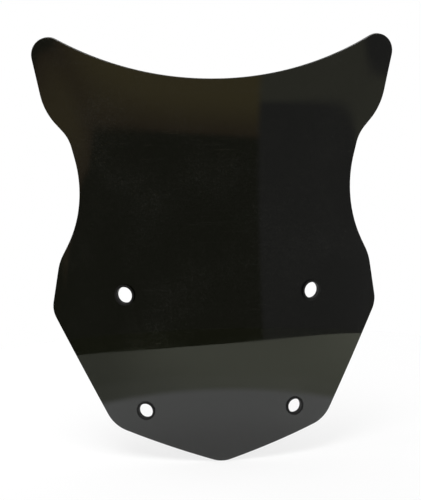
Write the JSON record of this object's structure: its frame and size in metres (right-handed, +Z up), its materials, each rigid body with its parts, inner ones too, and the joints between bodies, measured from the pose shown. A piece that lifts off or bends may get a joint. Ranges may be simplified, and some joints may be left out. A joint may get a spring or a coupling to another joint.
{
  "type": "windshield screen",
  "caption": "Curved smoked acrylic windshield screen for a motorcycle, with two horns, a waist, a V-shaped foot and fixing holes lined with rubber grommets.",
  "frame": {"origin": "below the middle of the bent sheet: X = 0 is its plane of symmetry, Y = 0 is midway through its depth and Z = 0 is its lower tip", "axes": "+Z up the straight centre line of the sheet from the lower tip to the horns; +Y from the convex outer face, which looks at the road ahead, towards the rider; +X to the right of someone who stands in front and looks at the outer face"},
  "size_m": [0.3062, 0.0576, 0.3613],
  "materials": {
    "smoked_acrylic": "dark smoke transparent acrylic, polished on both faces, with a satin edge",
    "black_rubber": "soft matt black rubber, moulded"
  },
  "bodies": {
    "root": {"screen_panel": "smoked_acrylic", "grommet_upper_left": "black_rubber", "grommet_upper_right": "black_rubber", "grommet_lower_left": "black_rubber", "grommet_lower_right": "black_rubber"}
  },
  "joints": []
}
